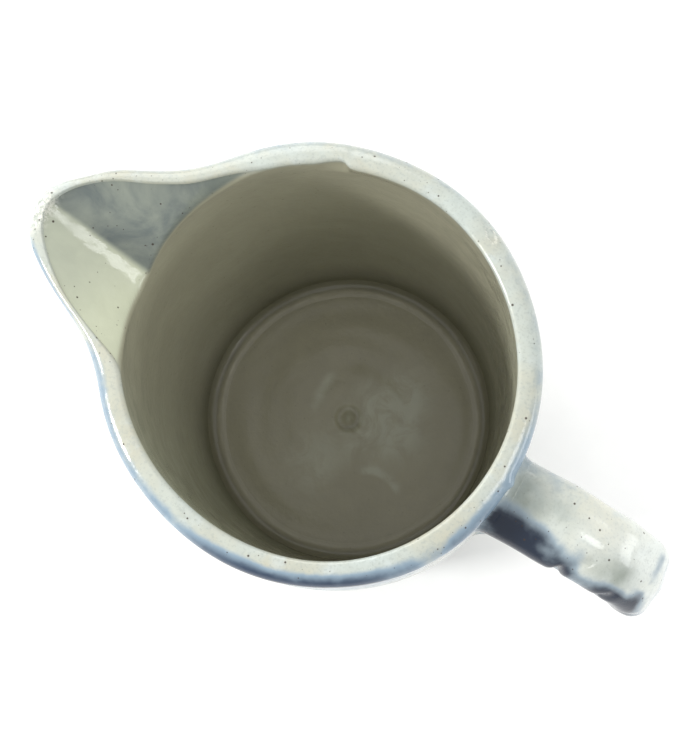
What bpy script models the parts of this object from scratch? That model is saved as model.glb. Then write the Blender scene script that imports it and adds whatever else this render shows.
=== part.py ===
# Stoneware pitcher: a slab floor with a coiled inside seam, a barrel wall with a rolled
# rim, an applied beak spout and a pulled strap handle, with the clay pressed round the joints.
# Frame: origin on the resting face under the axis, +Z up, +X towards the spout.
import math

import bmesh
import bpy
import numpy as np

# ---------------------------------------------------------------- driving dimensions (mm)
HEIGHT = 177.0            # resting face to the top of the rim
GAP = 0.3                 # left between pieces that meet
SLAB_THICK = 9.0          # floor slab
SLAB_RADIUS = 65.6
FOOT_CHAMFER = 2.2
RIM_INNER_DROP = 2.2      # how far the rim's inner edge rolls over
RIM_OUTER_DROP = 5.0      # how far its outer edge rolls over
OVAL = 0.0239             # the mouth is slightly oval ...
OVAL_ANGLE = 158.7        # ... along this direction (degrees from the spout)
OVAL_FROM = 60.0          # the ovalness fades out towards this height
INNER_PROFILE = ((9, 60.2), (14, 60.7), (30, 61.8), (60, 62.6), (100, 62.8), (140, 61.9), (160, 60.8), (170, 60.1), (177, 59.7))
OUTER_PROFILE = ((0, 63.5), (3, 65.2), (9, 66.6), (20, 68.2), (40, 69.9), (65, 70.8), (95, 70.6), (125, 69.2), (150, 67.9), (160, 67.4), (168, 67.5), (177, 67.5))
COIL_INNER, COIL_OUTER, COIL_HIGH = 54.0, 59.4, 2.6
SPOUT_OUTER = (101.4, 12.6, 1.18, 0.6, 2.0, 0.0, 0.0)    # reach, edge radius, run per fall, roundness, keel radius, lean and flare
SPOUT_INNER = (95.9, 9.6, 1.62, 0.40, 2.4, 0.13, 0.10)
SPOUT_LIFT = 1.5                   # the beak's tip stands a little over the rim
SPOUT_LUTE_RADIUS = 4.2
HANDLE_ANGLE = 179.9               # degrees from the spout
HANDLE_SIDE = -7.0                 # sideways offset of the strap
HANDLE_HALF_WIDTH = 12.6
HANDLE_HALF_THICK = 7.2
HANDLE_TAPER = 0.19                # share of the width lost towards the lower end
HANDLE_LEAN = 2.6                  # sideways drift towards the lower end
HANDLE_LINE = ((60, 154), (72, 157), (88, 158.5), (104, 153), (116.5, 139), (121, 120), (118.5, 98), (107, 75), (90, 57), (76, 48), (60, 42))
HANDLE_LUTE_RADIUS = 3.6

SEGMENTS = 72
MM = 0.001


def curve_through(points, at):
    """Monotone cubic through (x, y) knots."""
    x = np.array([p[0] for p in points], float)
    y = np.array([p[1] for p in points], float)
    h = np.diff(x)
    d = np.diff(y) / h
    m = np.zeros_like(x)
    m[0], m[-1] = d[0], d[-1]
    for i in range(1, len(x) - 1):
        if d[i - 1] * d[i] > 0:
            w1, w2 = 2 * h[i] + h[i - 1], h[i] + 2 * h[i - 1]
            m[i] = (w1 + w2) / (w1 / d[i - 1] + w2 / d[i])
    at = np.clip(np.asarray(at, float), x[0], x[-1])
    i = np.clip(np.searchsorted(x, at) - 1, 0, len(x) - 2)
    t = (at - x[i]) / h[i]
    return ((1 + 2 * t) * (1 - t) ** 2 * y[i] + t * (1 - t) ** 2 * h[i] * m[i]
            + t * t * (3 - 2 * t) * y[i + 1] + t * t * (t - 1) * h[i] * m[i + 1])


def inner_radius(z):
    return curve_through(INNER_PROFILE, z)


def outer_radius(z):
    return curve_through(OUTER_PROFILE, z)


def ovalled(r, angle, z):
    u = np.clip((z - OVAL_FROM) / (HEIGHT - OVAL_FROM), 0, 1)
    return r * (1 + OVAL * np.cos(2 * (angle - math.radians(OVAL_ANGLE))) * u * u * (3 - 2 * u))


def placed(r, angle, z):
    r = float(ovalled(r, angle, z))
    return (r * math.cos(angle) * MM, r * math.sin(angle) * MM, float(z) * MM)


def placed_xyz(x, y, z):
    return placed(math.hypot(x, y), math.atan2(y, x), z)


def eased(a, b, x):
    u = min(max((x - a) / (b - a), 0.0), 1.0)
    return u * u * (3 - 2 * u)


def spout_depth(x, y, shape):
    """How far the beak's surface lies below the rim: a channel with a parabola for its edge and a rounded V for its section.

    The keel leans to one side, and the edge on the other side waists and then flares into the rim.
    """
    reach, bend, run, roundness, keel, lean, flare = shape
    length = reach - x
    if length <= 1e-6:
        return -1000.0
    width = math.sqrt(2 * bend * length)
    aside = y - lean * length
    if aside > 0:
        half = max(width - lean * length, 0.01)
    else:
        waist = math.exp(-(((length - 24) / 11) ** 2))
        half = width * (1 - 0.9 * flare * waist + 1.5 * flare * eased(33, 50, length)) + lean * length
    q = math.sqrt(aside * aside + keel * keel) / half
    return length / run * (1 - q) * (1 + roundness * q)


def meets(depth_at, low, high, fall):
    """Where a depth that lessens outwards equals the fall."""
    for _ in range(40):
        mid = 0.5 * (low + high)
        if depth_at(mid) > fall:
            low = mid
        else:
            high = mid
    return 0.5 * (low + high)


def spout_radius(angle, fall, shape):
    """Distance from the axis to the beak's surface."""
    c, s = math.cos(angle), math.sin(angle)
    return meets(lambda r: spout_depth(r * c, r * s, shape), 20.0, 135.0, fall)


def lift(angle, z):
    """Extra height of the beak, largest at its tip."""
    return SPOUT_LIFT * math.exp(-((angle / math.radians(14)) ** 2)) * max(0.0, 1 - (HEIGHT - z) / 25.0)


def new_object(name, verts, faces, colour=None, roughness=0.3):
    mesh = bpy.data.meshes.new(name)
    bm = bmesh.new()
    points = [bm.verts.new(v) for v in verts]
    for f in faces:
        ring = []
        for k in f:
            if points[k] not in ring:
                ring.append(points[k])
        if len(ring) > 2:
            bm.faces.new(ring)
    bmesh.ops.recalc_face_normals(bm, faces=bm.faces)
    bm.to_mesh(mesh)
    bm.free()
    if sum(p.center.dot(p.normal) * p.area for p in mesh.polygons) < 0:
        mesh.flip_normals()
    mesh.shade_smooth()
    mesh.set_sharp_from_angle(angle=math.radians(40))
    ob = bpy.data.objects.new(name, mesh)
    bpy.context.scene.collection.objects.link(ob)
    if colour is None:
        ob.hide_render = True
        ob.display_type = "WIRE"
    else:
        mat = bpy.data.materials.new(name)
        mat.use_nodes = True
        bsdf = mat.node_tree.nodes["Principled BSDF"]
        bsdf.inputs["Base Color"].default_value = (*colour, 1)
        bsdf.inputs["Roughness"].default_value = roughness
        bsdf.inputs["Metallic"].default_value = 0.0
        mesh.materials.append(mat)
    return ob


def turned(name, loop, **look):
    """A closed (r, z) loop turned round the axis; points with r = 0 become poles."""
    verts, rows = [], []
    for r, z in loop:
        if r <= 0:
            verts.append((0, 0, z * MM))
            rows.append([len(verts) - 1] * SEGMENTS)
        else:
            start = len(verts)
            for k in range(SEGMENTS):
                verts.append(placed(r, 2 * math.pi * (k + 0.5) / SEGMENTS, z))
            rows.append(list(range(start, start + SEGMENTS)))
    faces = []
    for a, b in zip(rows, rows[1:] + rows[:1]):
        if a[0] == a[1] and b[0] == b[1]:
            continue
        for k in range(SEGMENTS):
            n = (k + 1) % SEGMENTS
            faces.append((a[k], a[n], b[n], b[k]))
    return new_object(name, verts, faces, **look)


def rim_arc(steps):
    """(across 0..1 from the inner to the outer edge, fall below the top) over the rolled rim."""
    out = []
    for k in range(1, steps):
        u = k / steps
        if u < 0.42:
            out.append((u, RIM_INNER_DROP * (1 - math.sqrt(1 - (1 - u / 0.42) ** 2))))
        else:
            out.append((u, RIM_OUTER_DROP * (1 - math.sqrt(1 - ((u - 0.42) / 0.58) ** 2))))
    return out


def cut(ob, cutter, operation="DIFFERENCE"):
    mod = ob.modifiers.new(cutter.name, "BOOLEAN")
    mod.object = cutter
    mod.operation = operation
    mod.solver = "EXACT"


def closed_tube(name, rings, loop, **look):
    """Rings of points joined in order; loop closes the last ring to the first."""
    verts = [placed_xyz(*p) for ring in rings for p in ring]
    n = len(rings[0])
    faces = []
    pairs = list(zip(range(len(rings) - 1), range(1, len(rings))))
    if loop:
        pairs.append((len(rings) - 1, 0))
    for a, b in pairs:
        for k in range(n):
            m = (k + 1) % n
            faces.append((a * n + k, a * n + m, b * n + m, b * n + k))
    if not loop:
        faces.append(tuple(range(n)))
        faces.append(tuple((len(rings) - 1) * n + k for k in range(n)))
    return new_object(name, verts, faces, **look)


def wedge(name, shape, grow, back, top, **look):
    """Everything inside a beak surface, from the back plane to the tip, as a solid."""
    shape = (shape[0] + grow,) + shape[1:]
    rings = []
    keel = shape[5] * (shape[0] - back)
    deepest = spout_depth(back, keel, shape) - 2.0
    for fall in np.linspace(-top, deepest, 20):
        mid = min(shape[5] * shape[2] * max(fall, 0.0) * 1.1, keel)
        left = meets(lambda y: spout_depth(back, keel - y, shape), 0.0, 90.0, fall)
        right = meets(lambda y: spout_depth(back, keel + y, shape), 0.0, 90.0, fall)
        ring = []
        for k in np.linspace(-1, 1, 43):
            end = keel + (right if k > 0 else -left)
            y = mid + (end - mid) * abs(k) ** 1.25
            ring.append((meets(lambda x: spout_depth(x, y, shape), back - 1.0, 135.0, fall), y, HEIGHT - fall))
        rings.append(ring)
    return closed_tube(name, rings, False, **look)


def around(path, radius, sides, loop):
    """Rings of a round coil along a path."""
    path = [np.array(p, float) for p in path]
    rings = []
    n = len(path)
    for i, p in enumerate(path):
        before = path[(i - 1) % n] if loop else path[max(i - 1, 0)]
        after = path[(i + 1) % n] if loop else path[min(i + 1, n - 1)]
        t = after - before
        t /= np.linalg.norm(t)
        out = np.array([p[0], p[1], 0.0])
        out -= out.dot(t) * t
        out /= np.linalg.norm(out)
        side = np.cross(t, out)
        rings.append([tuple(p + radius * (math.cos(a) * out + math.sin(a) * side))
                      for a in np.linspace(0, 2 * math.pi, sides, endpoint=False)])
    return rings


# ---------------------------------------------------------------- the strap handle's line
def handle_samples(count):
    knots = np.array(HANDLE_LINE, float)
    u = np.concatenate([[0], np.cumsum(np.linalg.norm(np.diff(knots, axis=0), axis=1))])
    fine = np.linspace(0, u[-1], 400)
    line = np.stack([np.interp(fine, u, knots[:, 0]), np.interp(fine, u, knots[:, 1])], axis=1)
    for _ in range(260):
        line[1:-1] = 0.25 * line[:-2] + 0.5 * line[1:-1] + 0.25 * line[2:]
    pick = np.linspace(0, len(line) - 1, count)
    line = np.stack([np.interp(pick, range(len(line)), line[:, k]) for k in (0, 1)], axis=1)
    tangent = np.gradient(line, axis=0)
    tangent /= np.linalg.norm(tangent, axis=1)[:, None]
    along = np.concatenate([[0], np.cumsum(np.linalg.norm(np.diff(line, axis=0), axis=1))])
    return line, np.stack([-tangent[:, 1], tangent[:, 0]], axis=1), along


def handle_point(mid, normal, along, a, grow):
    """A point of the strap's flattened-oval section; the strap tapers and leans towards its lower end."""
    c, s = math.cos(a), math.sin(a)
    half = HANDLE_HALF_WIDTH * (1.01 - HANDLE_TAPER * eased(64, 154, along))
    across = (half + grow) * math.copysign(abs(c) ** 0.8, c) + HANDLE_SIDE + HANDLE_LEAN * eased(74, 154, along)
    up = (HANDLE_HALF_THICK + grow) * math.copysign(abs(s) ** 0.8, s)
    out, z = mid[0] + normal[0] * up, mid[1] + normal[1] * up
    t = math.radians(HANDLE_ANGLE)
    return (out * math.cos(t) - across * math.sin(t), out * math.sin(t) + across * math.cos(t), z)


def handle_rings(count, sides, grow):
    line, normal, along = handle_samples(count)
    angles = np.linspace(0, 2 * math.pi, sides, endpoint=False)
    return [[handle_point(m, n, u, a, grow) for a in angles] for m, n, u in zip(line, normal, along)]


def handle_joint(upper, sides):
    """Where the strap's surface meets the wall, as a closed path."""
    line, normal, along = handle_samples(400)
    order = range(0, 200) if upper else range(399, 199, -1)
    path = []
    for a in np.linspace(0, 2 * math.pi, sides, endpoint=False):
        for i in order:
            p = handle_point(line[i], normal[i], along[i], a, 0.0)
            if math.hypot(p[0], p[1]) > float(outer_radius(p[2])):
                path.append(p)
                break
    return path


# ---------------------------------------------------------------- build
for ob in list(bpy.data.objects):
    bpy.data.objects.remove(ob, do_unlink=True)

GLAZE_GREY = (0.42, 0.42, 0.36)
GLAZE_PALE = (0.60, 0.62, 0.55)
GLAZE_FLOOR = (0.20, 0.19, 0.15)
GLAZE_BLUE = (0.20, 0.25, 0.33)

turned("floor_disc", [
    (0, 0), (SLAB_RADIUS - FOOT_CHAMFER, 0), (SLAB_RADIUS - 0.5, FOOT_CHAMFER), (SLAB_RADIUS, SLAB_THICK - 1.2),
    (SLAB_RADIUS - 0.6, SLAB_THICK), (COIL_INNER - 2, SLAB_THICK), (20, SLAB_THICK - 0.4), (5, SLAB_THICK - 0.6), (0, SLAB_THICK + 0.9),
], colour=GLAZE_FLOOR, roughness=0.2)

low = SLAB_THICK + GAP
heights_out = [low, 14, 20, 30, 42, 56, 70, 84, 98, 112, 126, 138, 146, 151, 155, 159, 163, 166, 169, HEIGHT - RIM_OUTER_DROP]
heights_in = [HEIGHT - RIM_INNER_DROP, 172, 169, 166, 163, 160, 157, 154, 151, 148, 144, 138, 124, 106, 86, 66, 46, 30, 20, 14, low]
r_in, r_out = float(inner_radius(HEIGHT - RIM_INNER_DROP)), float(outer_radius(HEIGHT - RIM_OUTER_DROP))
wall_loop = [(float(outer_radius(z)), z) for z in heights_out]
wall_loop += [(r_in + u * (r_out - r_in), HEIGHT - fall) for u, fall in reversed(rim_arc(8))]
wall_loop += [(float(inner_radius(z)), z) for z in heights_in]
wall = turned("body_wall", wall_loop, colour=GLAZE_GREY, roughness=0.22)
notch = wedge("notch_cutter", SPOUT_INNER, 0.0, 38.0, 12.0)
cut(wall, notch)

# Solid stand-in for the pot's outside, a gap larger, that trims what is applied to it.
body_fill = turned("body_fill", [(0, -4)] + [(float(outer_radius(z)) + GAP, z) for z in [-4, 3] + heights_out] + [
    (float(outer_radius(HEIGHT)) + GAP, HEIGHT + 6), (0, HEIGHT + 6)])

coil_loop = []
for k in range(9):
    a = math.pi * k / 8
    mid, half = (COIL_INNER + COIL_OUTER) / 2, (COIL_OUTER - COIL_INNER) / 2
    coil_loop.append((mid + half * math.cos(a), SLAB_THICK + GAP + COIL_HIGH * math.sin(a) ** 0.9))
turned("floor_seam_coil", coil_loop, colour=GLAZE_FLOOR, roughness=0.2)

# The beak: one closed section in each half-plane through the axis.
limit = 0.0
for k in range(400):
    a = math.radians(40) * k / 400
    if spout_radius(a, 3.0, SPOUT_OUTER) > float(outer_radius(HEIGHT - 3)) + GAP + 1.2:
        limit = a
columns = []
for a in np.linspace(-limit, limit, 41):
    bottom = HEIGHT - 6.0
    for fall in np.linspace(6, 40, 171):
        if spout_radius(a, fall, SPOUT_OUTER) > float(outer_radius(HEIGHT - fall)) + GAP + 0.7:
            bottom = HEIGHT - fall
    # the inside runs up the pot's wall to the channel's edge, then out along the channel
    crease = bottom
    for fall in np.linspace(RIM_INNER_DROP, HEIGHT - bottom, 200):
        if spout_radius(a, fall, SPOUT_INNER) > float(outer_radius(HEIGHT - fall)) + GAP:
            crease = HEIGHT - fall
    if crease == bottom:
        crease = HEIGHT - RIM_INNER_DROP - 0.4
    inner = [(float(outer_radius(z)) + GAP, z) for z in np.linspace(bottom, crease, 5)]
    for z in np.linspace(crease, HEIGHT - RIM_INNER_DROP, 7)[1:]:
        inner.append((max(float(outer_radius(z)) + GAP, spout_radius(a, HEIGHT - z, SPOUT_INNER)), z))
    outer = []
    for z in np.linspace(HEIGHT - RIM_OUTER_DROP + 1, bottom, 10):
        outer.append((max(float(outer_radius(z)) + GAP + 0.6, spout_radius(a, HEIGHT - z, SPOUT_OUTER)), z))
    top = []
    for u, fall in rim_arc(6):
        shrink = fall if u < 0.42 else fall * (RIM_OUTER_DROP - 1) / RIM_OUTER_DROP
        top.append((inner[-1][0] + u * (outer[0][0] - inner[-1][0]), HEIGHT - shrink))
    section = inner + top + outer
    columns.append([(r * math.cos(a), r * math.sin(a), z + lift(a, z)) for r, z in section])
closed_tube("spout", columns, False, colour=GLAZE_PALE, roughness=0.2)

# Clay pressed into the crease under the beak.
path = []
for a in np.linspace(-limit, limit, 61):
    fall = 0.0
    for f in np.linspace(0, 40, 401):
        if spout_radius(a, f, SPOUT_OUTER) > float(outer_radius(HEIGHT - f)):
            fall = f
    if fall > 6.0:
        r = float(outer_radius(HEIGHT - fall)) + 0.4
        path.append((r * math.cos(a), r * math.sin(a), HEIGHT - fall))
spout_lute = closed_tube("spout_lute", around(path, SPOUT_LUTE_RADIUS, 10, False), False, colour=GLAZE_BLUE, roughness=0.25)
spout_fill = wedge("spout_fill", SPOUT_OUTER, GAP + 0.25, 38.0, 12.0)
cut(spout_lute, body_fill)
cut(spout_lute, spout_fill)

handle = closed_tube("handle", handle_rings(44, 22, 0.0), False, colour=GLAZE_BLUE, roughness=0.22)
cut(handle, body_fill)
handle_fill = closed_tube("handle_fill", handle_rings(44, 22, GAP), False)
for name, upper in (("handle_upper_lute", True), ("handle_lower_lute", False)):
    coil = closed_tube(name, around(handle_joint(upper, 30), HANDLE_LUTE_RADIUS, 9, True), True, colour=GLAZE_BLUE, roughness=0.25)
    cut(coil, body_fill)
    cut(coil, handle_fill)
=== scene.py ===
import math

import bpy
import numpy as np
from mathutils import Matrix, Vector


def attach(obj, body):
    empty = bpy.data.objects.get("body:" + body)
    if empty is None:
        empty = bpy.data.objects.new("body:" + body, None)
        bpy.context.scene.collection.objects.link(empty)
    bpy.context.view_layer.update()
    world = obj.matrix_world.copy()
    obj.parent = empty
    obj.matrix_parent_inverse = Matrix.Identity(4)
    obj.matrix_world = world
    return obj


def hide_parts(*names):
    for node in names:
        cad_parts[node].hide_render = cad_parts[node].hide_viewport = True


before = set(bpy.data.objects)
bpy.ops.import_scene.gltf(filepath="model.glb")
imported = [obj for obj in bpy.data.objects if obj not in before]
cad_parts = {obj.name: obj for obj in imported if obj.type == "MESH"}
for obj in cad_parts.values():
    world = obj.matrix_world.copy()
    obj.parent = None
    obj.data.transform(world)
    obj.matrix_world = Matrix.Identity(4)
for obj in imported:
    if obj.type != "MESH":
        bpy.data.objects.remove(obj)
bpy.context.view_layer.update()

MM = 0.001

# ------------------------------------------------------------------ dimensions (mm), as in the solid model
HEIGHT = 177.0
LOW = 9.3
SLAB = 9.0
OVAL, OVAL_ANGLE, OVAL_FROM = 0.0239, math.radians(158.7), 60.0
INNER_PROFILE = ((9, 60.2), (14, 60.7), (30, 61.8), (60, 62.6), (100, 62.8), (140, 61.9), (160, 60.8), (170, 60.1), (177, 59.7))
OUTER_PROFILE = ((0, 63.5), (3, 65.2), (9, 66.6), (20, 68.2), (40, 69.9), (65, 70.8), (95, 70.6), (125, 69.2), (150, 67.9), (160, 67.4), (168, 67.5), (177, 67.5))
SPOUT_OUTER = (101.4, 12.6, 1.18, 0.6, 2.0, 0.0, 0.0)   # reach, edge radius, run per fall, roundness, keel radius, lean and flare
SPOUT_INNER = (95.9, 9.6, 1.62, 0.40, 2.4, 0.13, 0.10)
SPOUT_LIFT = 1.5
RIM_IN, RIM_OUT, RIM_SPLIT = 1.5, 5.0, 0.17
HANDLE_ANGLE = math.radians(179.9)
HANDLE_SIDE = -7.0
HANDLE_W, HANDLE_T = 12.6, 7.2
HANDLE_LINE = ((64.5, 155), (72, 157), (88, 158.5), (104, 153), (116.5, 139), (121, 120), (118.5, 98), (107, 75), (90, 57), (76, 48), (66, 44))


def curve_through(points, at):
    x = np.array([p[0] for p in points], float)
    y = np.array([p[1] for p in points], float)
    h = np.diff(x)
    d = np.diff(y) / h
    m = np.zeros_like(x)
    m[0], m[-1] = d[0], d[-1]
    for i in range(1, len(x) - 1):
        if d[i - 1] * d[i] > 0:
            w1, w2 = 2 * h[i] + h[i - 1], h[i] + 2 * h[i - 1]
            m[i] = (w1 + w2) / (w1 / d[i - 1] + w2 / d[i])
    at = np.clip(np.asarray(at, float), x[0], x[-1])
    i = np.clip(np.searchsorted(x, at) - 1, 0, len(x) - 2)
    t = (at - x[i]) / h[i]
    return ((1 + 2 * t) * (1 - t) ** 2 * y[i] + t * (1 - t) ** 2 * h[i] * m[i]
            + t * t * (3 - 2 * t) * y[i + 1] + t * t * (t - 1) * h[i] * m[i + 1])


def smooth(a, b, x):
    u = np.clip((x - a) / (b - a), 0, 1)
    return u * u * (3 - 2 * u)


def wrap(a):
    return (a + math.pi) % (2 * math.pi) - math.pi


def bump(x, mid, wide):
    return np.exp(-((x - mid) / wide) ** 2)


def blend_max(a, b, k):
    h = np.maximum(k - np.abs(a - b), 0) / k
    return np.maximum(a, b) + h * h * k * 0.25


def oval(r, t, z):
    return r * (1 + OVAL * np.cos(2 * (t - OVAL_ANGLE)) * smooth(OVAL_FROM, HEIGHT, z))


def spout_radius(t, fall, shape):
    """Distance from the axis to the beak: a channel with a parabola for its edge and a rounded V for its section."""
    reach, bend, run, round_, keel, lean, flare = shape
    t, fall = np.broadcast_arrays(np.asarray(t, float), np.asarray(fall, float))
    c, s = np.cos(t), np.sin(t)
    low, high = np.full(t.shape, 20.0), np.full(t.shape, 135.0)
    for _ in range(34):
        r = 0.5 * (low + high)
        length = reach - r * c
        safe = np.maximum(length, 1e-6)
        width = np.sqrt(2 * bend * safe)
        aside = r * s - lean * safe
        half = np.where(aside > 0, np.maximum(width - lean * safe, 0.01),
                        width * (1 - 0.9 * flare * bump(safe, 24, 11) + 1.5 * flare * smooth(33, 50, safe)) + lean * safe)
        # a narrow, nearly flat bottom with eased corners, a little uneven from the fingers
        past = np.abs(aside) - keel * (0.45 + 0.60 * smooth(3, 22, safe) + (0.10 + 0.15 * np.sin(0.83 * safe + 1.0) + 0.08 * np.sin(1.7 * safe)) * bump(aside, 0, 3.6))
        q = 0.5 * (past + np.sqrt(past * past + 1.4)) / half
        depth = np.where(length > 1e-6, length / run * (1 - q) * (1 + round_ * q), -1e3)
        deeper = depth > fall
        low, high = np.where(deeper, r, low), np.where(deeper, high, r)
    return np.where(c > 0.55, 0.5 * (low + high), 0.0)


def inner_at(t, z):
    """(inner surface, how far the beak's channel stands outside the plain wall)."""
    fall = HEIGHT - z
    wall = curve_through(INNER_PROFILE, z)
    wall = wall + 1.3 * bump(t, 0, math.radians(26)) * bump(fall, 16, 13)
    # faint throwing rings and a slow wobble of the hand-made wall
    calm = smooth(0, 14, fall)
    wall = wall + calm * (0.008 * np.sin(z * 0.62 + 0.7 * np.sin(t)) + 0.03 * np.sin(z * 0.21 + t))
    wall = wall + 0.22 * np.sin(3 * t + 0.8) + 0.12 * np.sin(5 * t + z * 0.02)
    # the lip's inner edge stands in a little past a nick, and runs out along the rim
    turn = wrap(t - math.radians(-67.8))
    wall = wall + 1.3 * smooth(0.17, 0.01, turn) * smooth(-0.040, 0.006, turn) * smooth(10, 2, fall)
    wall = wall - 0.75 * smooth(0.006, -0.075, turn) * smooth(-0.62, -0.06, turn) * smooth(9, 2, fall)
    beak = spout_radius(t, fall, SPOUT_INNER)
    # the channel keeps the slight waves of the fingers that drew it
    ahead, aside = beak * np.cos(t), beak * np.sin(t)
    beak = beak + smooth(2, 7, fall) * (0.06 * np.sin(0.75 * aside + 0.50 * ahead) + 0.045 * np.sin(1.3 * aside - 0.8 * ahead + 1.0))
    soft = 2.4 + 1.9 * np.exp(-fall / 2.5) + 3.0 * smooth(-0.05, -0.45, t) * np.exp(-fall / 9.0)
    return blend_max(wall, beak, soft), beak - wall


def outer_at(t, z):
    fall = HEIGHT - z
    wall = curve_through(OUTER_PROFILE, z)
    wall = wall + 0.25 * np.sin(3 * t + 0.8) + 0.15 * np.sin(7 * t + 2.0) + 0.55 * bump(wrap(t - math.radians(75)), 0, 0.9) + 0.45 * bump(wrap(t + math.radians(110)), 0, 0.6)
    wall = wall + smooth(6, 30, fall) * (0.05 * np.sin(z * 0.5 + 0.6 * np.sin(2 * t)) + 0.06 * np.sin(z * 0.21 + t))
    # a soft groove sets the rim off from the body
    wall = wall - 0.7 * bump(z, 160.5, 3.0)
    beak = spout_radius(t, fall, SPOUT_OUTER)
    return blend_max(wall, beak, 9.0), beak - wall


def rim_height(t):
    return 0.35 * np.sin(2 * t + 1.1) + 0.18 * np.sin(5 * t + 0.4)


# ------------------------------------------------------------------ mesh helpers
def grid_normals(points, closed_i, closed_j):
    def step(a, axis, closed):
        if closed:
            return np.roll(a, -1, axis) - np.roll(a, 1, axis)
        return np.gradient(a, axis=axis)
    n = np.cross(step(points, 0, closed_i), step(points, 1, closed_j))
    return n / np.maximum(np.linalg.norm(n, axis=2, keepdims=True), 1e-12)


def make_piece(name, verts, faces, normals=None, marks=None):
    mesh = bpy.data.meshes.new(name)
    mesh.from_pydata(np.asarray(verts).tolist(), [], faces if isinstance(faces, list) else faces.tolist())
    mesh.update()
    mesh.shade_smooth()
    for key, values in (marks or {}).items():
        layer = mesh.attributes.new(key, "FLOAT", "POINT")
        layer.data.foreach_set("value", np.asarray(values, np.float32))
    if normals is not None:
        mesh.normals_split_custom_set_from_vertices(np.asarray(normals).tolist())
    ob = bpy.data.objects.new(name, mesh)
    bpy.context.scene.collection.objects.link(ob)
    return ob


def grid_faces(ni, nj, closed_i, closed_j):
    i = np.arange(ni if closed_i else ni - 1)
    j = np.arange(nj if closed_j else nj - 1)
    a, b = np.meshgrid(i, j, indexing="ij")
    a2, b2 = (a + 1) % ni, (b + 1) % nj
    return np.stack([a * nj + b, a2 * nj + b, a2 * nj + b2, a * nj + b2], axis=2)


def open_edges(faces):
    """Directed edges of some four-sided faces that no neighbour runs back along."""
    a, b = faces.reshape(-1), np.roll(faces, -1, axis=1).reshape(-1)
    big = int(faces.max()) + 1
    free = ~np.isin(b * big + a, a * big + b)
    return a[free], b[free]


def part_of(points, normals, faces, marks):
    """The used points of some faces, renumbered."""
    used, index = np.unique(np.array([v for f in faces for v in f]), return_inverse=True)
    index = iter(index.tolist())
    return (points[used], [[next(index) for _ in f] for f in faces], normals[used], {k: v[used] for k, v in marks.items()})


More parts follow.
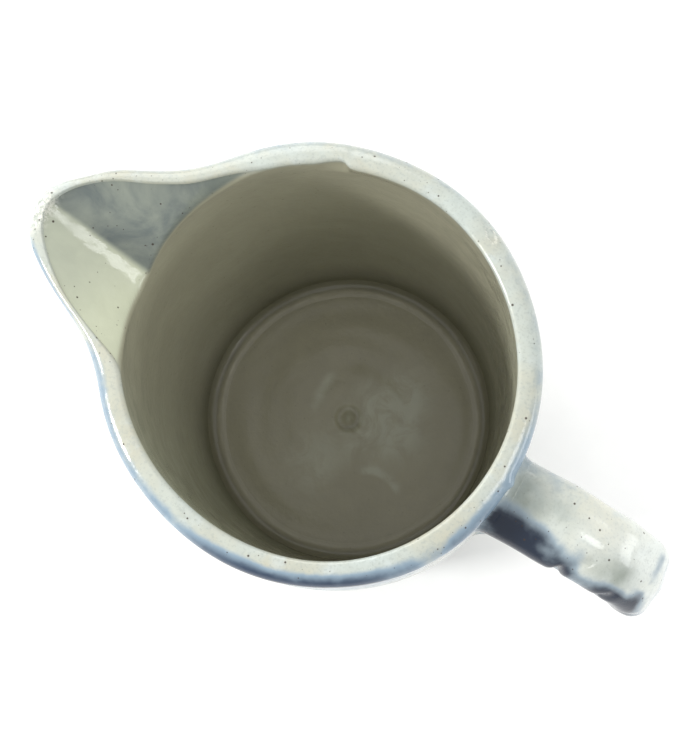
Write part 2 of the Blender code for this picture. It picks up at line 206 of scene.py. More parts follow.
# ------------------------------------------------------------------ the pot: wall, beak and the clay under the beak
def build_pot():
    edge = math.radians(44)
    cols = np.concatenate([np.linspace(-edge, edge, 260, endpoint=False),
                           np.linspace(edge, 2 * math.pi - edge, 420, endpoint=False)])
    rows_in = np.concatenate([np.linspace(LOW, 130, 60, endpoint=False), np.linspace(130, HEIGHT - RIM_IN, 66)])
    across = (0.5 - 0.5 * np.cos(np.linspace(0, math.pi, 34)))[1:-1]
    rows_out = np.concatenate([np.linspace(HEIGHT - RIM_OUT, 128, 62, endpoint=False), np.linspace(128, LOW, 62)])
    t = wrap(cols)[:, None]
    z_in = np.broadcast_to(rows_in, (len(cols), len(rows_in)))
    # the beak's lip is thinner than the rim, most of all beside its tip
    degrees = np.degrees(t)
    thin = 2.6 * bump(degrees, 6.5, 7.0) + 1.7 * bump(degrees, -3.6, 4.4) + 0.7 * bump(degrees, -13.0, 4.0)
    rim_out = RIM_OUT - thin
    split = RIM_SPLIT - 0.05 * smooth(28, 18, np.abs(degrees))
    z_out = rows_out[None, :] + thin * smooth(128, HEIGHT - RIM_OUT, rows_out)[None, :]
    r_in, over_in = inner_at(t, z_in)
    r_out, over_out = outer_at(t, z_out)
    a, b = r_in[:, -1:], r_out[:, :1]
    u = across[None, :]
    drop = np.where(u < split, RIM_IN * (1 - np.sqrt(np.maximum(1 - (1 - u / split) ** 2, 0))),
                    rim_out * (1 - np.sqrt(np.maximum(1 - (np.maximum(u - split, 0) / (1 - split)) ** 2.6, 0))))
    r_rim = a + u * (b - a)
    z_rim = np.broadcast_to(HEIGHT - drop, r_rim.shape)
    r = np.concatenate([r_in, r_rim, r_out], axis=1)
    z = np.concatenate([z_in, z_rim, z_out], axis=1)
    n_in, n_rim = len(rows_in), len(across)
    kind = np.concatenate([np.zeros(n_in), np.ones(n_rim), np.full(len(rows_out), 2)])
    over = np.concatenate([over_in, np.broadcast_to(over_out[:, :1], r_rim.shape), over_out], axis=1)
    tt = np.broadcast_to(t, r.shape)
    # a flaked spot, a bead over the handle's root and a worn beak tip
    flake = np.hypot(wrap(tt - math.radians(-115.5)) / 0.046, (r - 65.3 - 14 * wrap(tt - math.radians(-115.5))) / 1.5)
    chip = smooth(1.0, 0.72, flake) * (z > HEIGHT - 6) * (kind != 0)
    r_shape = r + 0.9 * bump(wrap(tt - math.radians(176.0)), 0, 0.024) * bump(r, 67.4, 2.0) * smooth(165, 170, z)
    worn = bump(tt, 0.025, 0.075) * smooth(90.5, 94, r) * smooth(101, 98, r) * smooth(HEIGHT - 5, HEIGHT - 1, z)
    rough = np.sin(tt * 190 + 3 * np.sin(z * 2.1)) * np.sin(z * 3.3 + tt * 70) + 0.6 * np.sin(tt * 410 + z * 5)
    z_shape = z - 0.55 * chip + 0.22 * worn * rough
    z_shape = z_shape + rim_height(tt) * smooth(HEIGHT - 60, HEIGHT, z)
    z_shape = z_shape + SPOUT_LIFT * bump(tt, 0, math.radians(14)) * np.clip(1 - (HEIGHT - z) / 25, 0, 1)
    rr = oval(r_shape, tt, z)
    points = np.stack([rr * np.cos(tt), rr * np.sin(tt), z_shape], axis=2) * MM
    normals = grid_normals(points, True, True)
    # which way is out: the outside rows must face away from the axis
    k = n_in + n_rim + 20
    if np.sum(normals[200, k, :2] * points[200, k, :2]) < 0:
        normals = -normals
        flip = True
    else:
        flip = False
    faces = grid_faces(len(cols), r.shape[1], True, True)
    if flip:
        faces = faces[:, :, ::-1]

    inside = np.broadcast_to(np.where(kind == 0, 1.0, 0.0), r.shape)
    rim_row = np.where(kind == 1, 1.0, 0.0)
    u_full = np.concatenate([np.zeros(n_in), across, np.ones(len(rows_out))])
    lip = np.exp(-((HEIGHT - z) / 9.0) ** 2)
    inner_mark = inside * smooth(0, 4.0, HEIGHT - z)
    outside = np.broadcast_to(np.where(kind == 2, 1.0, 0.0) + np.where(kind == 1, smooth(0.26, 0.94, u_full), 0), r.shape)
    # cobalt: strongest on the side towards the front, thin near the beak, washed out down the body
    turn = lambda degrees, wide: bump(wrap(tt - math.radians(degrees)), 0, wide)
    side = 0.17 + 0.24 * turn(30, 0.55) + 0.85 * turn(114, 0.62) + 0.26 * turn(172, 0.35) + 0.10 * turn(-35, 0.35) + 0.26 * turn(13, 0.09) - 0.24 * turn(2, 0.13)
    cobalt = outside * side * (1 - 0.50 * smooth(HEIGHT - 5, HEIGHT - 24, z) - 0.36 * smooth(HEIGHT - 24, HEIGHT - 90, z))
    channel = inside * smooth(-0.6 - 1.2 * smooth(-0.1, -0.4, tt), 0.9, over) * (HEIGHT - z < 45)
    ahead = rr * np.cos(tt)
    # the darker half of the beak's channel, with a lighter share over the channel towards the tip, is painted shade
    beak_shade = inside * (HEIGHT - z < 45) * smooth(-2.6, -0.2, over) * smooth(-0.1, -2.9, rr * np.sin(tt) - 0.07 * (96 - ahead))
    beak_shade = np.maximum(beak_shade, 0.45 * channel * smooth(62, 92, ahead))
    # the mark that lightens two sides of the inside wall is painted light
    marks = {"inside": inner_mark, "channel": channel, "beak_shade": beak_shade, "cobalt": cobalt, "lip": lip * (1 - inside) + 0 * lip,
             # the mark that darkens the foot of the inside wall, up from the floor, is painted shade
             "corner_shade": inside * smooth(42, 10, z), "lit_sides": inner_mark * np.clip(0.75 * turn(72, 0.60) + 0.38 * turn(200, 0.50), 0, 1), "wear": np.clip(worn + 1.3 * bump(flake, 0.95, 0.10) * (z > HEIGHT - 6) * (kind != 0), 0, 1), "rim": np.broadcast_to(rim_row, r.shape) + 0 * r}

    mid = lambda v: 0.25 * (v + np.roll(v, -1, 0) + np.roll(v, -1, 1) + np.roll(np.roll(v, -1, 0), -1, 1))
    over_c = mid(over)
    kind_c = np.broadcast_to(kind, r.shape)
    z_c = mid(z)
    is_spout = ((kind_c == 0) & (over_c > 3.2)) | ((kind_c == 1) & (over_c > 1.5)) | ((kind_c == 2) & (over_c > 5.0))
    is_spout &= (z_c > 135) & (np.abs(mid(np.abs(tt))) < edge)
    is_spout[:, -1] = False
    # the beak's outline only narrows on the way down from the rim, so that its edge never doubles back
    crest = n_in + n_rim // 2
    for j in range(crest + 1, is_spout.shape[1]):
        is_spout[:, j] &= is_spout[:, j - 1]
    for j in range(crest - 1, -1, -1):
        is_spout[:, j] &= is_spout[:, j + 1]
    is_lute = (kind_c == 2) & (over_c > -4.5) & (over_c <= 5.0) & (z_c < HEIGHT - RIM_OUT) & (z_c > 130) & (np.abs(mid(np.abs(tt))) < edge)
    is_lute[:, -1] = False
    # cut faces: the open edge of each piece runs in to one line half-way through the clay
    nj = r.shape[1]
    flat = points.reshape(-1, 3)
    sides = {}
    for v in np.unique(open_edges(faces[is_spout])[0]).tolist():
        sides.setdefault(v // nj, ([], []))[int(v % nj >= n_in + n_rim // 2)].append(flat[v])
    columns = sorted(c for c, (near, far) in sides.items() if near and far)
    spine = np.array([0.5 * (np.mean(sides[c][0], axis=0) + np.mean(sides[c][1], axis=0)) for c in columns])
    all_points = np.vstack([flat, spine])
    all_normals = np.vstack([normals.reshape(-1, 3), np.tile((0.0, 0.0, 1.0), (len(spine), 1))])
    all_marks = {k: np.concatenate([np.ravel(v), np.zeros(len(spine))]) for k, v in marks.items()}

    def spine_of(v):
        return len(flat) + np.clip(np.searchsorted(columns, v // nj, side="right") - 1, 0, len(columns) - 1)

    out = []
    for name, mask in (("wall_glazed", ~(is_spout | is_lute)), ("beak_glazed", is_spout), ("beak_joint", is_lute)):
        a, b = open_edges(faces[mask])
        body = faces[mask].tolist()
        for p, q, x, y in zip(a.tolist(), b.tolist(), spine_of(a).tolist(), spine_of(b).tolist()):
            body.append([q, p, x, y] if x != y else [q, p, x])
        v, f, n, m = part_of(all_points, all_normals, body, all_marks)
        out.append(make_piece(name, v, f, n, m))
    return out


# ------------------------------------------------------------------ floor slab and the coil in its corner
def turned_piece(name, profile, columns, marks_of, wobble=None):
    t = np.linspace(0, 2 * math.pi, columns, endpoint=False)[:, None]
    r = np.broadcast_to(np.array([p[0] for p in profile], float), (columns, len(profile)))
    z = np.broadcast_to(np.array([p[1] for p in profile], float), r.shape)
    tt = np.broadcast_to(t, r.shape)
    if wobble is not None:
        r, z = wobble(r, tt, z)
    points = np.stack([r * np.cos(tt), r * np.sin(tt), z], axis=2) * MM
    return points, tt, r, z


def build_floor():
    rings = np.concatenate([np.linspace(0.15, 12, 40, endpoint=False), np.linspace(12, 61.5, 80, endpoint=False), [64.2, 64.9]])
    top = [(r, SLAB) for r in rings]
    low = [(65.4, 8.2), (65.6, 7.2), (65.5, 4.0), (65.1, 2.2), (64.4, 0.9), (63.4, 0.15), (62.6, 0.0), (61.5, 0.0), (50.0, 0.0), (30.0, 0.0), (12.0, 0.0), (0.15, 0.0)]

    def wobble(r, t, z):
        on_top = z == SLAB
        fade = smooth(54, 50, r)
        swirl = np.sin(r * 0.62 - t + 0.5 * np.sin(3 * t)) * 0.03 * smooth(5, 11, r) * fade
        blotch = 0.20 * np.sin(2 * t + r * 0.11 + 1.0) * np.sin(r * 0.17 + 0.6) * fade * smooth(2, 12, r)
        ripple = 0.07 * np.sin(5 * t + 0.30 * r) * np.sin(3 * t - 0.21 * r) * fade * smooth(6, 16, r)
        button = 0.8 * np.exp(-(r / 1.9) ** 2) - 0.5 * np.exp(-((r - 3.8) / 1.9) ** 2) + 0.15 * np.exp(-((r - 6.8) / 1.6) ** 2)
        dish = -0.25 * (1 - (r / 60.0) ** 2)
        z = z + np.where(on_top, (swirl + blotch + ripple + button) * (r < 56) + dish, 0)
        return r, z

    columns = 240
    points, tt, r, z = turned_piece("floor", top + low, columns, None, wobble)
    normals = grid_normals(points, True, False)
    faces = grid_faces(columns, points.shape[1], True, False)
    if normals[10, 60, 2] < 0:
        normals = -normals
        faces = faces[:, :, ::-1]
    on_top = np.broadcast_to((np.arange(points.shape[1]) < len(top)).astype(float), r.shape)
    ix = -0.872 * r * np.cos(tt) - 0.489 * r * np.sin(tt)
    iy = -0.489 * r * np.cos(tt) + 0.872 * r * np.sin(tt)

    def spot(cx, cy, size):
        return np.exp(-((ix - cx) ** 2 + (iy - cy) ** 2) / size ** 2)

    # pale marks on the floor: a pale patch by the button, which is a painted reflection, a streak, an arc about a
    # darker patch
    px, py = ix + 4.5, iy + 22.0
    k = np.clip((px * -11.9 + py * 23.7) / (11.9 ** 2 + 23.7 ** 2), 0, 1)
    bend = 2.2 * np.sin(3.0 * k)
    streak = np.exp(-((px + 11.9 * k + bend) ** 2 + (py - 23.7 * k) ** 2) / 2.6 ** 2) * smooth(0.0, 0.25, k) * smooth(1.0, 0.7, k)
    d, a = np.hypot(ix - 9, iy - 35), np.arctan2(iy - 35, ix - 9)
    arc = np.exp(-((d - 12.0) / 2.4) ** 2) * smooth(-2.3, -1.5, a) * smooth(0.1, -0.6, a)
    pale_floor_marks = spot(16, 1.7, 17) + 0.5 * spot(-14, 19, 16) + 0.45 * spot(25, -13, 10) + 0.62 * streak + 0.85 * arc - 1.1 * spot(7, 34, 10)
    pale_floor_marks = np.clip(pale_floor_marks, 0, 1)
    marks = {"pale_floor_marks": on_top * pale_floor_marks, "inside": on_top, "cobalt": 0 * r, "lip": 0 * r, "wear": 0 * r, "rim": 0 * r, "channel": 0 * r,
             "bare": (1 - on_top) * smooth(3.0, 0.6, z), "button": on_top * np.exp(-((r - 3.9) / 1.6) ** 2) * (0.35 + 0.65 * np.cos((tt - math.radians(170)) / 2) ** 2)}
    verts = points.reshape(-1, 3)
    nj = points.shape[1]
    fl = faces.reshape(-1, 4).tolist()
    first = [i * nj for i in range(columns)]
    last = [i * nj + nj - 1 for i in range(columns)]
    fl.append(first)
    fl.append(last[::-1])
    return make_piece("floor_glazed", verts, fl, None, {k: v.reshape(-1) for k, v in marks.items()})


def build_coil():
    profile = []
    inner, outer = 52.6, 60.6
    for k in range(45):
        r = outer - (outer - inner) * k / 44
        z = 0.20 * bump(r, 55.3, 1.4) - 0.12 * smooth(53.6, 52.4, r) + 3.6 * (1 - math.sqrt(1 - (max(r - 57.1, 0) / 3.6) ** 2))
        profile.append((r, SLAB - 0.05 + float(z)))
    for k in range(1, 6):
        profile.append((inner + (outer - inner) * k / 6, SLAB - 0.9))

    def wobble(r, t, z):
        soft = smooth(SLAB + 0.05, SLAB + 0.5, z)
        own = 0.22 * np.sin(4 * t + 1) + 0.14 * np.sin(9 * t) + 0.05 * np.sin(23 * t)
        walls = 0.22 * np.sin(3 * t + 0.8) + 0.12 * np.sin(5 * t + 0.2)
        near = smooth(57.5, 60.0, r)
        return r + own * (1 - near) + walls * near, z + soft * (1 - near) * (0.16 * np.sin(3 * t + 2) + 0.12 * np.sin(8 * t) + 0.06 * np.sin(17 * t))

    columns = 300
    points, tt, r, z = turned_piece("coil", profile, columns, None, wobble)
    normals = grid_normals(points, True, True)
    faces = grid_faces(columns, points.shape[1], True, True)
    if normals[10, 12, 2] < 0:
        normals = -normals
        faces = faces[:, :, ::-1]
    # the coil's crest is lighter where light catches it, most on one side: painted highlight
    top = bump(r, 55.3, 0.9) * (0.62 + 0.38 * np.cos(tt - math.radians(300)))
    # the coil's outer part, in the cove against the wall, is darkened as painted shade
    marks = {"inside": 1 + 0 * r, "cobalt": 0 * r, "lip": 0 * r, "wear": 0 * r, "rim": 0 * r, "channel": 0 * r, "coil_lit_crest": top, "corner_shade": smooth(55.6, 58.2, r)}
    return make_piece("floor_coil_glazed", points.reshape(-1, 3), faces.reshape(-1, 4), normals.reshape(-1, 3), {k: v.reshape(-1) for k, v in marks.items()})


# ------------------------------------------------------------------ handle
def handle_samples(count):
    knots = np.array(HANDLE_LINE, float)
    u = np.concatenate([[0], np.cumsum(np.linalg.norm(np.diff(knots, axis=0), axis=1))])
    fine = np.linspace(0, u[-1], 400)
    line = np.stack([np.interp(fine, u, knots[:, 0]), np.interp(fine, u, knots[:, 1])], axis=1)
    for _ in range(260):
        line[1:-1] = 0.25 * line[:-2] + 0.5 * line[1:-1] + 0.25 * line[2:]
    pick = np.linspace(0, len(line) - 1, count)
    line = np.stack([np.interp(pick, range(len(line)), line[:, k]) for k in (0, 1)], axis=1)
    tangent = np.gradient(line, axis=0)
    tangent /= np.linalg.norm(tangent, axis=1)[:, None]
    length = np.concatenate([[0], np.cumsum(np.linalg.norm(np.diff(line, axis=0), axis=1))])
    return line, np.stack([-tangent[:, 1], tangent[:, 0]], axis=1), length


def handle_surface(line, normal, length, a):
    """Points of the strap for section angles a (columns); a = 90 degrees is its outer face."""
    c, s = np.cos(a)[None, :], np.sin(a)[None, :]
    total = length[-1]
    along = length[:, None]
    wide = HANDLE_W * (1.01 - 0.19 * smooth(60, 150, along) + 0.015 * np.sin(along * 0.11) + 0.01 * np.sin(along * 0.31 + 1))
    thick = HANDLE_T * (1 + 0.03 * np.sin(along * 0.07 + 2) + 0.02 * np.sin(along * 0.23))
    # pinches where a finger pressed the strap's edge
    edge = np.clip(-c, 0, 1) ** 3
    pinch = 1.9 * bump(along, 27.0, 1.7) + 1.5 * bump(along, 44.0, 2.0) + 0.9 * bump(along, 64.0, 3.0)
    across = wide * np.sign(c) * np.abs(c) ** 0.8 + pinch * edge
    up = thick * np.sign(s) * np.abs(s) ** 0.8
    # the crease that runs from the first pinch over the outer face
    crease = bump(along - 0.75 * (across + 12), 27.0, 1.2) * np.clip(s, 0, 1) * smooth(1.0, -8.0, across)
    up = up - 0.7 * crease
    # shallow lengthwise finger grooves
    up = up + 0.28 * np.cos(across * 0.62) * np.clip(s, 0, 1) * smooth(0, 12, along)
    out = line[:, 0:1] + normal[:, 0:1] * up
    z = line[:, 1:2] + normal[:, 1:2] * up
    y = across + HANDLE_SIDE + 2.6 * smooth(70, 150, along)
    x3 = out * math.cos(HANDLE_ANGLE) - y * math.sin(HANDLE_ANGLE)
    y3 = out * math.sin(HANDLE_ANGLE) + y * math.cos(HANDLE_ANGLE)
    t = np.arctan2(y3, x3)
    rr = np.hypot(x3, y3)
    k = oval(rr, t, z) / rr
    return np.stack([x3 * k, y3 * k, z], axis=2), across, up


def handle_marks(across, up, along):
    under = smooth(2, -4, up)
    lower = smooth(60, 120, along)
    edge = across + 2.3 + 0.22 * np.maximum(along, 3.0)
    cobalt = (0.06 + 1.12 * smooth(4.2, -4.2, edge) * smooth(24, 13, along)
              + 0.22 * bump(along, 20.5, 2.4) * smooth(-1.0, -5.0, across)
              + 0.55 * smooth(-8.6, -12.0, across) * (0.75 + 0.25 * np.sin(along * 0.15 + 2)) * (1 - 0.8 * smooth(80, 130, along))
              + 0.85 * smooth(-6.2, -10.0, across) * bump(along, 38, 8) + 0.62 * smooth(-2.6, -6.5, across) * bump(along, 45.5, 3.4)
              + 0.22 * smooth(5, 11, across) * bump(along, 3, 12)
              + 0.36 * bump(along - 0.22 * across, 47.0, 2.2) * smooth(-3.5, 1.0, across) * smooth(10.5, 7.5, across)
              + 0.30 * smooth(45, 58, along - 0.35 * across) * smooth(104, 62, along + 0.5 * across) + 0.26 * under + 0.14 * lower)
    cobalt = np.clip(cobalt, 0, 1)
    olive = np.clip(1.0 * bump(along, 4, 11) * bump(across, 2.0, 7.5) + 1.0 * bump(along, 31.5, 8) * bump(across, -4.5, 4.8) + 0.35 * lower, 0, 1)
    zero = 0 * across
    return {"inside": zero, "cobalt": cobalt, "lip": zero, "wear": zero, "rim": zero, "channel": zero, "olive": olive}


def build_handle():
    line, normal, length = handle_samples(260)
    a = np.linspace(0, 2 * math.pi, 96, endpoint=False)
    points, across, up = handle_surface(line, normal, length, a)
    along = np.broadcast_to(length[:, None] - 8.0, across.shape)
    normals = grid_normals(points, False, True)
    faces = grid_faces(len(line), len(a), False, True)
    if normals[20, 24, 2] < 0:
        normals = -normals
        faces = faces[:, :, ::-1]
    fl = faces.reshape(-1, 4).tolist()
    first = list(range(len(a)))
    last = [(len(line) - 1) * len(a) + k for k in range(len(a))]
    fl.append(first if faces[0, 0, 0] > faces[0, 0, 1] else first[::-1])
    fl.append(last[::-1] if faces[0, 0, 0] > faces[0, 0, 1] else last)
    marks = handle_marks(across, up, along)
    return make_piece("handle_strap", points.reshape(-1, 3) * MM, fl, None, {k: v.reshape(-1) for k, v in marks.items()})


def build_handle_joint(name, upper):
    """A collar of clay that runs out from the strap on to the wall."""
    line, normal, length = handle_samples(400)
    sides, steps = 120, 14
    a = np.linspace(0, 2 * math.pi, sides, endpoint=False)
    points, across, up = handle_surface(line, normal, length, a)
    order = np.arange(0, 220) if upper else np.arange(399, 179, -1)
    rings = np.zeros((sides, steps + 1, 3))
    spread, reach = (1.7, 4.0) if upper else (7.0, 11.0)
    centre = None
    roots, lifts = [], []
    for k in range(sides):
        p = points[order, k]
        rad = np.hypot(p[:, 0], p[:, 1])
        t = np.arctan2(p[:, 1], p[:, 0])
        wall, _ = outer_at(t, p[:, 2])
        wall = oval(wall, t, p[:, 2])
        i = int(np.argmax(rad > wall))
        roots.append(p[i])
        dist = np.concatenate([[0], np.cumsum(np.linalg.norm(np.diff(p[i:], axis=0), axis=1))])
        lifts.append((p[i:], dist))
    roots = np.array(roots)
    centre = roots.mean(0)
    for k in range(sides):
        p, dist = lifts[k]
        away = roots[k] - centre
        tang = np.array([-centre[1], centre[0], 0.0])
        tang /= np.linalg.norm(tang)
        away2 = np.array([away.dot(tang), away[2]])
        away2 /= np.linalg.norm(away2)
        ang = a[k]
        ripple = 1 + 0.08 * math.sin(2 * ang + 1) + 0.04 * math.sin(5 * ang)
        rings[k, steps] = roots[k] + 0.10 * (centre - roots[k])
        for j in range(steps):
            u = j / (steps - 1)
            # quarter-round from the strap (u = 0) to the wall (u = 1)
            along = reach * ripple * (1 - math.sin(u * math.pi / 2))
            aside = spread * ripple * (1 - math.cos(u * math.pi / 2))
            on_strap = np.array([np.interp(along, dist, p[:, c]) for c in range(3)])
            q = on_strap + (tang * away2[0] + np.array([0, 0, away2[1]])) * aside
            # sink both edges slightly so that no gap shows
            t = math.atan2(q[1], q[0])
            base = float(oval(outer_at(np.array([t]), np.array([q[2]]))[0], t, q[2])[0])
            rad = math.hypot(q[0], q[1])
            low = base - 0.5 * smooth(0.8, 1.0, u)
            if u > 0.97:
                rad = base - 0.35
            rad = max(rad, float(low))
            inward = (centre - q) * 0.04 if j == 0 else 0
            q = np.array([rad * math.cos(t), rad * math.sin(t), q[2]]) + inward
            rings[k, j] = q
    normals = grid_normals(rings, True, True)
    normals[:, :steps] = grid_normals(rings[:, :steps], True, False)
    faces = grid_faces(sides, steps + 1, True, True)
    out_dir = centre / np.linalg.norm(centre)
    if np.sum(normals[:, steps // 2] @ out_dir) < 0:
        normals = -normals
        faces = faces[:, :, ::-1]
    u = np.broadcast_to(np.append(np.linspace(0, 1, steps), 1.0), rings.shape[:2])
    on = (1 - u) * 4.0 - 1.0
    along = np.broadcast_to(on if upper else length[-1] - 14.0 - on, rings.shape[:2])
    marks = handle_marks(np.broadcast_to(across[150][:, None], rings.shape[:2]), np.broadcast_to(up[150][:, None], rings.shape[:2]), along)
    # its outer edge takes the colour of the wall that it runs out on to
    kin = smooth(0.1, 0.95, u)
    marks["kin"] = kin
    marks["olive"] = marks["olive"] * (1 - kin)
    marks["cobalt"] = marks["cobalt"] * (1 - kin) + (0.40 if upper else 0.08) * kin
    return make_piece(name, rings.reshape(-1, 3) * MM, faces.reshape(-1, 4), normals.reshape(-1, 3), {k: v.reshape(-1) for k, v in marks.items()})


# ------------------------------------------------------------------ salt glaze
class Nodes:
    def __init__(self, name):
        self.mat = bpy.data.materials.new(name)
        self.mat.use_nodes = True
        self.tree = self.mat.node_tree
        self.bsdf = self.tree.nodes["Principled BSDF"]
        self.coord = self.tree.nodes.new("ShaderNodeTexCoord")

    def put(self, socket, value):
        if isinstance(value, bpy.types.NodeSocket):
            self.tree.links.new(value, socket)
        else:
            socket.default_value = value

    def mark(self, name):
        n = self.tree.nodes.new("ShaderNodeAttribute")
        n.attribute_type = "GEOMETRY"
        n.attribute_name = name
        return n.outputs["Fac"]

    def noise(self, scale, detail=3.0, rough=0.55, distort=0.0, out="Fac", drawn=1.0):
        n = self.tree.nodes.new("ShaderNodeTexNoise")
        place = self.coord.outputs["Object"]
        if drawn != 1.0:
            drag = self.tree.nodes.new("ShaderNodeMapping")
            drag.inputs["Scale"].default_value = (1, 1, drawn)
            self.put(drag.inputs["Vector"], place)
            place = drag.outputs["Vector"]
        self.put(n.inputs["Vector"], place)
        n.inputs["Scale"].default_value = scale
        n.inputs["Detail"].default_value = detail
        n.inputs["Roughness"].default_value = rough
        n.inputs["Distortion"].default_value = distort
        return n.outputs[out]

    def voronoi(self, scale, out="Distance"):
        n = self.tree.nodes.new("ShaderNodeTexVoronoi")
        self.put(n.inputs["Vector"], self.coord.outputs["Object"])
        n.inputs["Scale"].default_value = scale
        return n

    def math(self, op, a, b=0.0, clamp=False):
        n = self.tree.nodes.new("ShaderNodeMath")
        n.operation = op
        n.use_clamp = clamp
        self.put(n.inputs[0], a)
        self.put(n.inputs[1], b)
        return n.outputs[0]

    def span(self, value, low, high, to_low=0.0, to_high=1.0):
        n = self.tree.nodes.new("ShaderNodeMapRange")
        n.interpolation_type = "SMOOTHSTEP"
        self.put(n.inputs["Value"], value)
        n.inputs["From Min"].default_value = low
        n.inputs["From Max"].default_value = high
        n.inputs["To Min"].default_value = to_low
        n.inputs["To Max"].default_value = to_high
        return n.outputs["Result"]

    def mix(self, factor, a, b, mode="MIX"):
        n = self.tree.nodes.new("ShaderNodeMix")
        n.data_type = "RGBA"
        n.blend_type = mode
        self.put(n.inputs[0], factor)
        for socket, value in ((n.inputs[6], a), (n.inputs[7], b)):
            self.put(socket, value if isinstance(value, bpy.types.NodeSocket) else (*value, 1.0))
        return n.outputs[2]


def srgb(r, g, b):
    def one(v):
        v /= 255.0
        return v / 12.92 if v <= 0.04045 else ((v + 0.055) / 1.055) ** 2.4
    return (one(r), one(g), one(b))


def salt_glaze(name, pale, warm, inside, blue_thin, blue_deep, speck=1.0, floor=False, calm=False):
    n = Nodes(name)
    cloud = n.noise(38, 4, 0.55, 0.4)
    fine = n.noise(260, 3, 0.6)
    body = n.mix(n.span(cloud, 0.35, 0.68), pale, warm)
    body = n.mix(n.span(n.noise(95, 4, 0.6, 0.3), 0.52, 0.72, 0.0, 0.55), body, srgb(196, 206, 206))
    body = n.mix(n.span(fine, 0.35, 0.75, 0.0, 0.34), body, tuple(0.78 * c for c in pale))
    body = n.mix(n.span(n.noise(1150, 2, 0.6), 0.50, 0.70, 0.0, 0.42), body, tuple(0.66 * c for c in pale))
    body = n.mix(n.mark("kin"), body, n.mix(n.span(cloud, 0.35, 0.68), PALE, WARM))
    # inside: browner, and darker as painted shade for the dim inside, with slow streaks
    streak = n.noise(24, 5, 0.6, 0.8)
    inner = n.mix(n.span(streak, 0.36, 0.66), inside, tuple(1.08 * c for c in inside))
    inner = n.mix(n.span(fine, 0.4, 0.8, 0.0, 0.12), inner, tuple(0.78 * c for c in inside))
    colour = n.mix(n.mark("inside"), body, inner)
    # painted light: two sides of the inside wall are lightened
    colour = n.mix(n.mark("lit_sides"), colour, srgb(198, 203, 181))
    # painted shade: the foot of the inside wall and the coil's cove by the wall are darkened
    colour = n.mix(n.math("MULTIPLY", n.mark("corner_shade"), 0.56), colour, srgb(112, 111, 96))
    colour = n.mix(n.mark("channel"), colour, n.mix(n.span(cloud, 0.35, 0.68), CHANNEL, tuple(0.9 * c for c in CHANNEL)))
    # painted shade: the darker half of the beak's channel
    colour = n.mix(n.math("MULTIPLY", n.mark("beak_shade"), n.span(n.noise(55, 5, 0.6, 0.5), 0.3, 0.7, 0.72, 1.0)), colour, srgb(100, 109, 108))
    colour = n.mix(n.math("MULTIPLY", n.mark("olive"), n.span(n.noise(80, 3, 0.5, 0.2), 0.3, 0.62, 0.55, 1.0)), colour, srgb(132, 140, 128))
    # cobalt, thin and thick
    run = n.noise(58, 3, 0.45, 0.15) if calm else n.noise(66, 3, 0.5, 0.2, drawn=0.35)
    amount = n.math("MULTIPLY", n.mark("cobalt"), n.span(run, 0.18, 0.62, 0.45, 1.35))
    amount = n.math("ADD", amount, n.span(fine, 0.3, 0.8, -0.06, 0.06))
    colour = n.mix(n.span(amount, 0.08, 0.5), colour, blue_thin)
    colour = n.mix(n.span(amount, 0.30, 1.05) if calm else n.span(amount, 0.32, 1.22), colour, blue_deep)
    # iron specks of two sizes
    outer_only = n.math("SUBTRACT", 1.0, n.math("MULTIPLY", n.mark("inside"), n.math("SUBTRACT", 0.75, n.math("MULTIPLY", n.mark("channel"), 0.75))))
    for scale, size, share, strength in ((290, 0.16, 0.36, 0.92 * speck), (520, 0.16, 0.55, 0.8 * speck)):
        v = n.voronoi(scale)
        sep = n.tree.nodes.new("ShaderNodeSeparateColor")
        n.put(sep.inputs[0], v.outputs["Color"])
        present = n.math("GREATER_THAN", sep.outputs[0], share)
        size_k = n.span(sep.outputs[1], 0.0, 1.0, 0.45 * size, size)
        ratio = n.math("DIVIDE", v.outputs["Distance"], size_k)
        dot = n.math("MULTIPLY", n.span(ratio, 1.0, 0.45), present)
        dot = n.math("MULTIPLY", n.math("MULTIPLY", dot, strength), outer_only)
        colour = n.mix(dot, colour, srgb(58, 46, 38))
    # worn glaze
    scuff = n.math("MULTIPLY", n.mark("wear"), n.span(n.noise(900, 3, 0.7), 0.42, 0.58))
    colour = n.mix(scuff, colour, srgb(222, 222, 212))
    if floor:
        # painted highlight on the coil's crest
        colour = n.mix(n.math("MULTIPLY", n.mark("coil_lit_crest"), n.span(n.noise(90, 3, 0.6), 0.3, 0.65, 0.10, 0.75)), colour, srgb(216, 212, 196))
        colour = n.mix(n.math("MULTIPLY", n.mark("button"), 0.38), colour, srgb(84, 78, 66))
        # pale marks on the floor; the patch by the button among them is a painted reflection
        colour = n.mix(n.span(n.math("MULTIPLY", n.mark("pale_floor_marks"), n.span(n.noise(75, 5, 0.62, 1.2), 0.3, 0.68, 0.45, 1.5)), 0.02, 1.15, 0.0, 0.95), colour, srgb(218, 220, 207))
        clay = n.mix(n.span(n.noise(300, 4, 0.7), 0.35, 0.7), srgb(150, 126, 98), srgb(186, 164, 134))
        colour = n.mix(n.mark("bare"), colour, clay)
    n.put(n.bsdf.inputs["Base Color"], colour)
    gloss = n.span(n.noise(120, 4, 0.6), 0.3, 0.75, 0.10, 0.24)
    gloss = n.math("ADD", gloss, n.math("MULTIPLY", scuff, 0.35))
    if floor:
        gloss = n.math("ADD", gloss, n.math("MULTIPLY", n.mark("bare"), 0.6), clamp=True)
    n.put(n.bsdf.inputs["Roughness"], gloss)
    n.bsdf.inputs["IOR"].default_value = 1.5
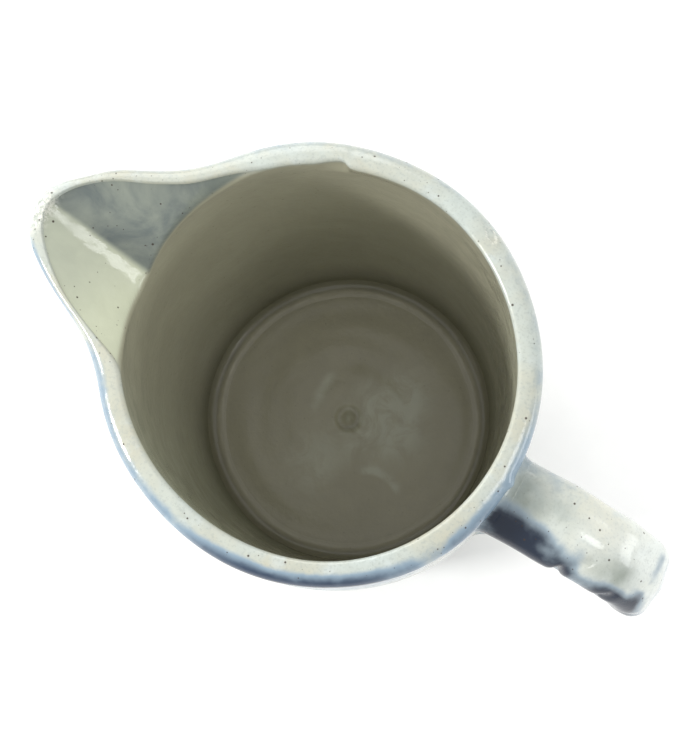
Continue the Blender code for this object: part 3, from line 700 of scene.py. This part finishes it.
    # orange peel and the slow unevenness of the glaze
    height = n.math("ADD", n.math("MULTIPLY", n.noise(520, 2, 0.5), 0.55), n.math("MULTIPLY", n.noise(140, 3, 0.5), 0.45))
    bump_node = n.tree.nodes.new("ShaderNodeBump")
    bump_node.inputs["Strength"].default_value = 0.22
    bump_node.inputs["Distance"].default_value = 0.0006
    n.put(bump_node.inputs["Height"], height)
    n.put(n.bsdf.inputs["Normal"], bump_node.outputs["Normal"])
    return n.mat


PALE = srgb(187, 195, 189)
WARM = srgb(185, 185, 169)
# the inside colour is browner and is darkened as painted shade for the dim inside
INSIDE_WITH_SHADE = srgb(172, 170, 150)
FLOOR_TONE = srgb(190, 186, 167)
CHANNEL = srgb(209, 214, 190)
BLUE_THIN = srgb(138, 158, 173)
BLUE_DEEP = srgb(48, 64, 86)

pot = salt_glaze("salt_glaze_pot", PALE, WARM, INSIDE_WITH_SHADE, BLUE_THIN, BLUE_DEEP)
floor_mat = salt_glaze("salt_glaze_floor", PALE, WARM, FLOOR_TONE, BLUE_THIN, BLUE_DEEP, 0.6, floor=True)
strap_mat = salt_glaze("salt_glaze_handle", srgb(220, 226, 221), srgb(212, 213, 200), INSIDE_WITH_SHADE, srgb(150, 165, 174), srgb(28, 39, 56), 1.0, calm=True)

wall, beak, beak_joint = build_pot()
floor_slab = build_floor()
coil = build_coil()
strap = build_handle()
upper = build_handle_joint("handle_joint_upper", True)
lower = build_handle_joint("handle_joint_lower", False)

for piece, node, mat, slot in (
    (wall, "body_wall", pot, "salt_glaze_grey"),
    (beak, "spout", pot, "salt_glaze_grey"),
    (beak_joint, "spout_lute", pot, "salt_glaze_grey"),
    (floor_slab, "floor_disc", floor_mat, "floor_glaze"),
    (coil, "floor_seam_coil", floor_mat, "floor_glaze"),
    (strap, "handle", strap_mat, "salt_glaze_cobalt"),
    (upper, "handle_upper_lute", strap_mat, "salt_glaze_cobalt"),
    (lower, "handle_lower_lute", strap_mat, "salt_glaze_cobalt"),
):
    piece.data.materials.append(mat)
    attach(piece, "root")
    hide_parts(node)

# ------------------------------------------------------------------ floor, light and camera
mesh = bpy.data.meshes.new("table_top")
mesh.from_pydata([(-3, -3, 0), (3, -3, 0), (3, 3, 0), (-3, 3, 0)], [], [(0, 1, 2, 3)])
table = bpy.data.objects.new("table_top", mesh)
bpy.context.scene.collection.objects.link(table)
paper = Nodes("table_paper")
paper_tone = paper.mix(paper.span(paper.noise(30, 3), 0.3, 0.7), (0.90, 0.90, 0.90), (0.93, 0.93, 0.93))
paper.put(paper.bsdf.inputs["Base Color"], paper_tone)
paper.bsdf.inputs["Roughness"].default_value = 0.8
mesh.materials.append(paper.mat)

world = bpy.data.worlds.new("studio")
bpy.context.scene.world = world
world.use_nodes = True
world.node_tree.nodes["Background"].inputs["Color"].default_value = (1.0, 1.0, 1.0, 1)
world.node_tree.nodes["Background"].inputs["Strength"].default_value = 0.75

RIGHT = Vector((-0.872, -0.489, 0))     # towards the picture's right
UP = Vector((0.489, -0.872, 0))         # towards the picture's top


def lamp(name, place, aim, size, power, tint=(1, 1, 1)):
    data = bpy.data.lights.new(name, "AREA")
    data.shape = "RECTANGLE"
    data.size, data.size_y = size
    data.energy = power
    data.color = tint
    ob = bpy.data.objects.new(name, data)
    ob.location = place
    ob.rotation_euler = (Vector(aim) - Vector(place)).to_track_quat("-Z", "Y").to_euler()
    bpy.context.scene.collection.objects.link(ob)
    return ob


lamp("key", RIGHT * -0.45 + UP * 1.06 + Vector((0, 0, 0.86)), (0, 0, 0.14), (1.6, 1.0), 13.5, (1.0, 0.985, 0.96))
lamp("left", RIGHT * -1.03 + UP * -0.23 + Vector((0, 0, 0.71)), (-0.048, -0.036, 0.146), (0.24, 0.24), 9.5, (1.0, 0.99, 0.97))
lamp("side", RIGHT * 1.23 + UP * -0.39 + Vector((0, 0, 0.36)), (-0.11, 0, 0.13), (0.62, 0.40), 3.0, (0.97, 0.99, 1.0))
lamp("window", RIGHT * 0.855 + UP * -0.31 + Vector((0, 0, 1.16)), (0, 0, 0.14), (0.42, 0.42), 3.2, (0.98, 0.99, 1.0))

camera = bpy.data.cameras.new("camera")
camera.sensor_fit = "VERTICAL"
camera.sensor_height = 36.0
camera.lens = 1250.0 * 36.0 / 745.0
camera.clip_start = 0.01
camera_object = bpy.data.objects.new("camera", camera)
ahead = Vector((0.1193, -0.1006, -0.9877)).normalized()
down = Vector((-0.4814, 0.8642, -0.1462))
down = (down - down.dot(ahead) * ahead).normalized()
right = down.cross(ahead)
camera_object.matrix_world = Matrix((
    (right.x, -down.x, -ahead.x, -0.0553),
    (right.y, -down.y, -ahead.y, 0.0368),
    (right.z, -down.z, -ahead.z, 0.5435),
    (0, 0, 0, 1)))
bpy.context.scene.collection.objects.link(camera_object)
bpy.context.scene.camera = camera_object
bpy.context.scene.view_settings.view_transform = "Standard"
